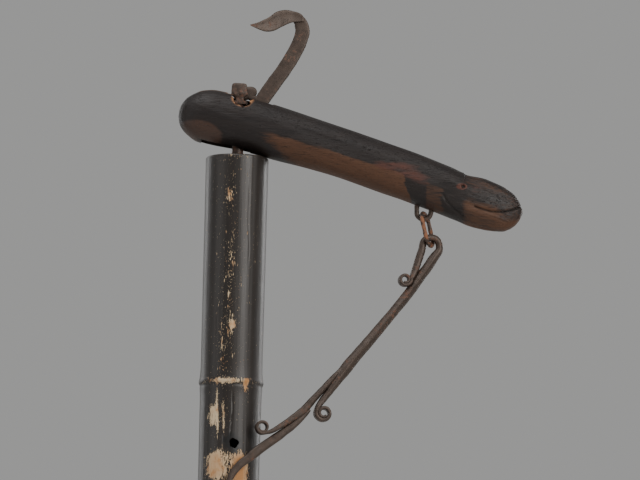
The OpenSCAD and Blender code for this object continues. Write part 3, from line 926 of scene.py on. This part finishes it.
def strap(name, points, count, out=0.0):
    """A forged bar in the brace's plane, through points as in the lists above."""
    q = np.array(points, dtype=float)
    flat = q[:, :2]
    path = even(flat, count)
    width, depth, power = (even(flat, count, v)[1] for v in q[:, 2:].T)
    return solid(name, bar(lay(path, out), OUTWARD, depth, width, 24, power))


def make_brace(s):
    k = s.bar / MM / DRAWN_BAR
    top = scroll(CURL_TOP, 3.2, 6.8, 12, 1.35, (3.6, 2.6), 10.5)[::-1]
    arc = [(HAIR_AT[0] + HAIR_R * math.cos(a) / SLANT, HAIR_AT[1] + HAIR_R * math.sin(a),
            7.6, 7.7, 2) for a in np.linspace(math.pi, 0, 8)]
    end = scroll(CURL_MID, 3.8, 8.2, 168, -1.4, (4.2, 3.2), 11)
    main = [(x, z, w * k, d * k, p) for x, z, w, d, p in MAIN_BAR]
    run = smooth([top[-1]] + STRAND + arc + main + [end[0]], 12)
    obj = strap("BraceUpperBar", np.vstack([top[:-1], run, end[1:]]), 600)
    hammered(obj, 9, 0.28, 0.03, 51)
    finish(obj, "brace", "iron", iron(s, "forged"), "brace_upper_bar", sharp=42)
    low = scroll(CURL_LOW, 4.4, 6.5, -72, 1.25, (3.4, 2.6), 9.6)
    obj = strap("BraceTongue", np.vstack([smooth(TONGUE + [low[0]], 12), low[1:]]), 320, 0.5)
    hammered(obj, 8, 0.24, 0.03, 57)
    finish(obj, "brace", "iron", iron(s, "forged"), "brace_tongue", sharp=42)
    k = s.foot_bar / MM / DRAWN_BAR
    eye = [(EYE_R * math.cos(a) / SLANT, EYE_R * math.sin(a), 4.9, 6, 3.2)
           for a in np.radians(np.linspace(18, -262, 34))]
    foot = [(x, z, w * k, d, p) for x, z, w, d, p in FOOT_BAR]
    obj = strap("BraceFootBar", np.vstack([smooth(foot + [eye[0]], 12), eye[1:]]), 330)
    hammered(obj, 9, 0.26, 0.03, 61)
    finish(obj, "brace", "iron", iron(s, "forged"), "brace_foot_bar", sharp=42)


# ---- rod, fork, pin and hook

FORK_X, FORK_Z, FORK_TOP = (-8.0, 9.0), 57.0, 79.0
CHEEK_AT, CHEEK_T = 5.5, 4.0
PIN_AT = (2.0, 69.0)
ROD_FOOT, ROD_D = -779.6, 11.9
SHANK = [(22.2, 58.8), (28.5, 69), (38.2, 83.6), (48.2, 98.4), (57.4, 114.6), (63.2, 128.6),
         (64.9, 138.6), (62.6, 146.4), (58.2, 150.6), (53.8, 152.4)]
LOBE = [(-5.2, 69.4), (-4.0, 69.4), (-1, 69.3), (4, 69.2), (9, 69.8), (14, 70.6), (17, 70.8),
        (18.6, 70.8)]
LOBE_WIDTHS = [2, 8, 13.0, 14.4, 13.8, 12.4, 8.5, 2.5]
NECK, NECK_WIDTHS = [(9, 68), (14, 64.8), (19, 62.8), (25, 62.0)], [7, 7.2, 6.8, 6.4]
# The blade's two edges, from its root at X = BLADE_ROOT to its tip
BLADE_ROOT = 61
BLADE_TOP = [(4, 151.5), (1.0, 155.0), (-6, 157.6), (-16, 158.4), (-26, 155.6), (-34, 149.4),
             (-45, 143.2), (-53.8, 140.0)]
BLADE_LOW = [(3.6, 147.0), (-1, 146.6), (-9, 145.6), (-19, 140.6), (-28.5, 135.3), (-36.5, 133.9),
             (-45, 135.8), (-53.6, 138.9)]


def upright(x, y, z):
    """A path of points at the heights z."""
    return np.stack([np.zeros(len(z)) + x, np.zeros(len(z)) + y, z], 1)


def make_rod(s):
    rod = upright(0, 0, np.linspace(ROD_FOOT, FORK_Z + 0.5, 170))
    obj = solid("SlideRod", bar(rod, (1, 0, 0), ROD_D, ROD_D, 26, 2.0))
    hammered(obj, 12, 0.05, 0.03, 71)
    finish(obj, "rod", "rusty_iron", iron(s, "rod"), "slide_rod")
    parts = []
    mid, wide = sum(FORK_X) / 2, FORK_X[1] - FORK_X[0]
    for y in (-CHEEK_AT, CHEEK_AT):
        z = np.array([FORK_Z, FORK_Z + 0.6, *np.linspace(FORK_Z + 2, FORK_TOP - 3, 20),
                      FORK_TOP - 1.6, FORK_TOP - 0.6, FORK_TOP])
        high = step(z, FORK_Z + 6, FORK_Z + 10.5)
        shrink = np.array([0.94, 0.99] + [1.0] * 20 + [0.95, 0.84, 0.6])
        lean = 0.6 * np.sin(z * 0.3 + y)
        path = upright(mid + lean * 0.4, y - np.sign(y) * 0.5 * (1 - high), z)
        width = 8.5 + (wide - 8.9) * high + lean * high
        thick = CHEEK_T - (1 - high)
        parts.append(solid("cheek", bar(path, (1, 0, 0), width * shrink, thick * shrink, 44, 3.6)))
    root = upright(mid, 0, np.linspace(FORK_Z, FORK_Z + 3.2, 6))
    parts.append(solid("root", bar(root, (1, 0, 0), wide - 0.6, 14.4, 60, 6)))
    obj = joined("RodFork", parts)
    hammered(obj, 6, 0.42, 0.12, 73)
    co, _ = places(obj)
    rust = 0.55 + 0.45 * rough(co, (7, 7, 7), 79, 2)
    # Painted shade: below FORK_Z + 7 the rust is held at 0, so the fork's lower part, down in the
    # dark mortise, keeps the dark scale colour
    paint(obj, "rust", step(co[:, 2], FORK_Z + 7, FORK_Z + 11) * rust)
    finish(obj, "rod", "rusty_iron", iron(s, "rod"), "rod_fork", sharp=30)
    y = np.array([-8.1, -7.9, -7.4, *np.linspace(-6, 6, 8), 7.4, 7.9, 8.1])
    path = np.stack([np.full(len(y), PIN_AT[0]), y, np.full(len(y), PIN_AT[1])], 1)
    size = np.array([2.6, 4.6, 5.9] + [5.9] * 8 + [5.9, 4.6, 2.6])
    obj = solid("HookPin", bar(path, (1, 0, 0), size, size, 24, 2.0))
    hammered(obj, 3, 0.08, 0.04, 77)
    finish(obj, "rod", "iron", iron(s, "forged"), "hook_pin")


def flat_bar(name, outline, widths, plate, steps=12, stations=150, power=5.0):
    """A flat bar in the XZ plane along given points, with a width at each point."""
    curve = smooth([(x, 0, z) for x, z in outline], steps)
    wide = smooth([(w, 0) for w in widths], steps)[:, 0]
    path, wide = even(curve, stations, wide)
    t = tangents(path)
    return solid(name, bar(path, np.cross(t, (0.0, 1.0, 0.0)), wide, plate, 28, power))


def blade(s):
    """The leaf-shaped blade, cupped and folded towards the front, leaning by the blade angle."""
    top, low = smooth(BLADE_TOP, 14), smooth(BLADE_LOW, 14)
    run, lean = math.cos(s.blade_angle), math.sin(s.blade_angle)
    share = np.linspace(0, 1, len(top))
    thin = np.interp(share, [0, 0.08, 0.3, 0.75, 1], [2.6, 4.6, 4.2, 3.0, 1.2])
    cup = 1.5 * np.interp(share, [0, 0.2, 0.6, 1], [0.2, 1, 1, 0.2])
    forward = np.interp(share, [0, 0.2, 0.5, 1], [4.2, 3.6, 1.6, 1.2])
    twist = 0.8 * np.interp(share, [0, 0.5, 1], [0, 1, 0])
    rings = []
    for a in circle(32):
        u, v = bent(math.cos(a), 0.62), bent(math.sin(a), 0.8)
        p = (top + low) / 2 + (top - low) / 2 * u
        y = v * thin / 2 + cup * (1 - u * u) - forward - u * twist
        x, z = p.T
        rings.append(np.stack([BLADE_ROOT + x * run - y * lean, x * lean + y * run, z], 1))
    return solid("blade", np.stack(rings, axis=1))


def make_hook(s):
    wide, plate = s.hook_bar / MM, s.hook_plate / MM
    shares = (0.94, 1, 1, 1, 1, 1, 0.98, 0.9)
    obj = joined("PotHook", [
        flat_bar("shank", SHANK, [*(wide * share for share in shares), 9.5, 4.5], plate),
        flat_bar("lobe", LOBE, LOBE_WIDTHS, plate, 8, 60, 3),
        flat_bar("neck", NECK, NECK_WIDTHS, plate * 0.95, 8, 40, 3.5),
        blade(s)])
    hammered(obj, 8, 0.24, 0.03, 81)
    finish(obj, "hook", "iron", iron(s, "forged"), "pot_hook", sharp=36)


def dress_hidden(frame, lever, irons):
    """Materials for the pieces that stay as they are inside the tube."""
    wood = bpy.data.materials.get("Carved lever wood") or lever_material(lever)
    for name, mat in (("rod_bobbin", wood), ("bobbin_washer", iron(irons, "rod")),
                      ("bobbin_peg", iron(irons, "forged"))):
        obj = frame["nodes"][name]
        for slot in obj.material_slots:
            slot.material = mat


# ---- stage

AIM = (0.089, 0.0, RIM - 0.0846)
FLOOR_R = 7
SENSOR = 36
WHITE = (1, 1, 1)
# Name, place, size, power and tint of each light
LIGHTS = (("Key", (1.45, -1.75, 1.7), (0.55, 1.7), 50, (1, 0.97, 0.93)),
          ("Top", (-0.5, -0.9, 2.9), (1.4, 1.0), 36, WHITE),
          ("Fill", (-2.3, -1.3, 1.0), (1.2, 1.8), 11, WHITE),
          ("Rim", (1.6, 1.5, 1.3), (0.5, 1.6), 15, WHITE),
          ("Rim left", (-1.6, 1.4, 1.4), (0.5, 1.6), 11, WHITE))


def area_light(name, place, size, power, tint):
    """A soft rectangular light towards the object."""
    data = bpy.data.lights.new(name, "AREA")
    data.shape = "RECTANGLE"
    data.size, data.size_y = size
    data.energy = power
    data.color = tint
    obj = added(name, data)
    obj.location = place
    obj.rotation_euler = (Vector(AIM) - Vector(place)).to_track_quat("-Z", "Y").to_euler()


def make_stage(s):
    mat, _, bsdf = shader("Pale floor", Roughness=0.85)
    bsdf.inputs["Base Color"].default_value = (*s.floor, 1)
    mesh = bpy.data.meshes.new("Floor")
    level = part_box("bamboo_tube")[0][2]
    edge = [(FLOOR_R * math.cos(a), FLOOR_R * math.sin(a), level) for a in circle(64)]
    mesh.from_pydata(edge, [], [tuple(range(len(edge)))])
    mesh.materials.append(mat)
    floor = added("Floor", mesh)
    world = bpy.data.worlds.new("Studio")
    world.use_nodes = True
    back = world.node_tree.nodes["Background"]
    back.inputs["Color"].default_value = (0.80, 0.80, 0.79, 1)
    back.inputs["Strength"].default_value = 0.42
    bpy.context.scene.world = world
    for light in LIGHTS:
        area_light(*light)
    camera = bpy.data.cameras.new("Camera")
    camera.sensor_width = SENSOR
    camera.lens = SENSOR * s.distance / s.span
    obj = added("Camera", camera)
    forward = Vector((0, math.cos(s.climb), math.sin(s.climb)))
    up0, right0 = Vector((0, -math.sin(s.climb), math.cos(s.climb))), Vector((1, 0, 0))
    up = up0 * math.cos(s.roll) - right0 * math.sin(s.roll)
    right = right0 * math.cos(s.roll) + up0 * math.sin(s.roll)
    m = Matrix((right, up, -forward)).transposed().to_4x4()
    m.translation = Vector(AIM) - forward * s.distance
    obj.matrix_world = m
    bpy.context.scene.camera = obj


# ---- operators and panel

FRAME = {}


class HEARTH_OT_tube(bpy.types.Operator):
    """Builds the bamboo tube"""
    bl_idname = "hearth.tube"
    bl_label = "Bamboo tube"

    def execute(self, context):
        make_tube(context.scene.hearth_tube)
        return {"FINISHED"}


class HEARTH_OT_lever(bpy.types.Operator):
    """Carves the wooden lever"""
    bl_idname = "hearth.lever"
    bl_label = "Lever"

    def execute(self, context):
        make_lever(context.scene.hearth_lever)
        return {"FINISHED"}


class HEARTH_OT_staples(bpy.types.Operator):
    """Bends the staples of the lever and of the tube"""
    bl_idname = "hearth.staples"
    bl_label = "Staples"

    def execute(self, context):
        make_staples(context.scene.hearth_iron)
        return {"FINISHED"}


class HEARTH_OT_ring(bpy.types.Operator):
    """Forges the chain ring under the lever"""
    bl_idname = "hearth.ring"
    bl_label = "Chain ring"

    def execute(self, context):
        make_ring(context.scene.hearth_iron)
        return {"FINISHED"}


class HEARTH_OT_brace(bpy.types.Operator):
    """Forges the brace's bars and scrolls"""
    bl_idname = "hearth.brace"
    bl_label = "Brace"

    def execute(self, context):
        make_brace(context.scene.hearth_iron)
        return {"FINISHED"}


class HEARTH_OT_rod(bpy.types.Operator):
    """Makes the sliding rod, its fork and its pin, and finishes the bobbin"""
    bl_idname = "hearth.rod"
    bl_label = "Sliding rod"

    def execute(self, context):
        make_rod(context.scene.hearth_iron)
        dress_hidden(FRAME["frame"], context.scene.hearth_lever, context.scene.hearth_iron)
        return {"FINISHED"}


class HEARTH_OT_hook(bpy.types.Operator):
    """Forges the pot hook and its blade"""
    bl_idname = "hearth.hook"
    bl_label = "Pot hook"

    def execute(self, context):
        make_hook(context.scene.hearth_iron)
        return {"FINISHED"}


class HEARTH_OT_stage(bpy.types.Operator):
    """Sets up the floor, the lights and the camera"""
    bl_idname = "hearth.stage"
    bl_label = "Stage"

    def execute(self, context):
        make_stage(context.scene.hearth_stage)
        return {"FINISHED"}


class HEARTH_PT_panel(bpy.types.Panel):
    """Lists the hearth hook's pieces and sizes"""
    bl_idname = "HEARTH_PT_panel"
    bl_label = "Hearth Hook"
    bl_space_type = "VIEW_3D"
    bl_region_type = "UI"
    bl_category = "Hearth Hook"

    def draw(self, context):
        for title, settings, operators in PAGES:
            box = self.layout.box()
            box.label(text=title)
            values = getattr(context.scene, settings)
            for name in type(values).__annotations__:
                box.prop(values, name)
            for operator in operators:
                box.operator(operator.bl_idname)


GROUPS = (("hearth_tube", TubeSettings), ("hearth_lever", LeverSettings),
          ("hearth_iron", IronSettings), ("hearth_stage", StageSettings))
OPERATORS = (HEARTH_OT_tube, HEARTH_OT_lever, HEARTH_OT_staples, HEARTH_OT_ring, HEARTH_OT_brace,
             HEARTH_OT_rod, HEARTH_OT_hook, HEARTH_OT_stage)
PAGES = (("Tube", "hearth_tube", OPERATORS[:1]), ("Lever", "hearth_lever", OPERATORS[1:2]),
         ("Iron", "hearth_iron", OPERATORS[2:7]), ("Stage", "hearth_stage", OPERATORS[7:]))
CLASSES = tuple(kind for _, kind in GROUPS) + OPERATORS + (HEARTH_PT_panel,)


def register():
    for kind in CLASSES:
        bpy.utils.register_class(kind)
    for name, kind in GROUPS:
        setattr(bpy.types.Scene, name, bpy.props.PointerProperty(type=kind))


def unregister():
    for name, _ in GROUPS:
        delattr(bpy.types.Scene, name)
    for kind in reversed(CLASSES):
        bpy.utils.unregister_class(kind)


def main():
    register()
    FRAME["frame"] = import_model()
    for operator in OPERATORS:
        family, name = operator.bl_idname.split(".")
        getattr(getattr(bpy.ops, family), name)()
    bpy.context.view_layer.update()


if __name__ == "__main__":
    main()
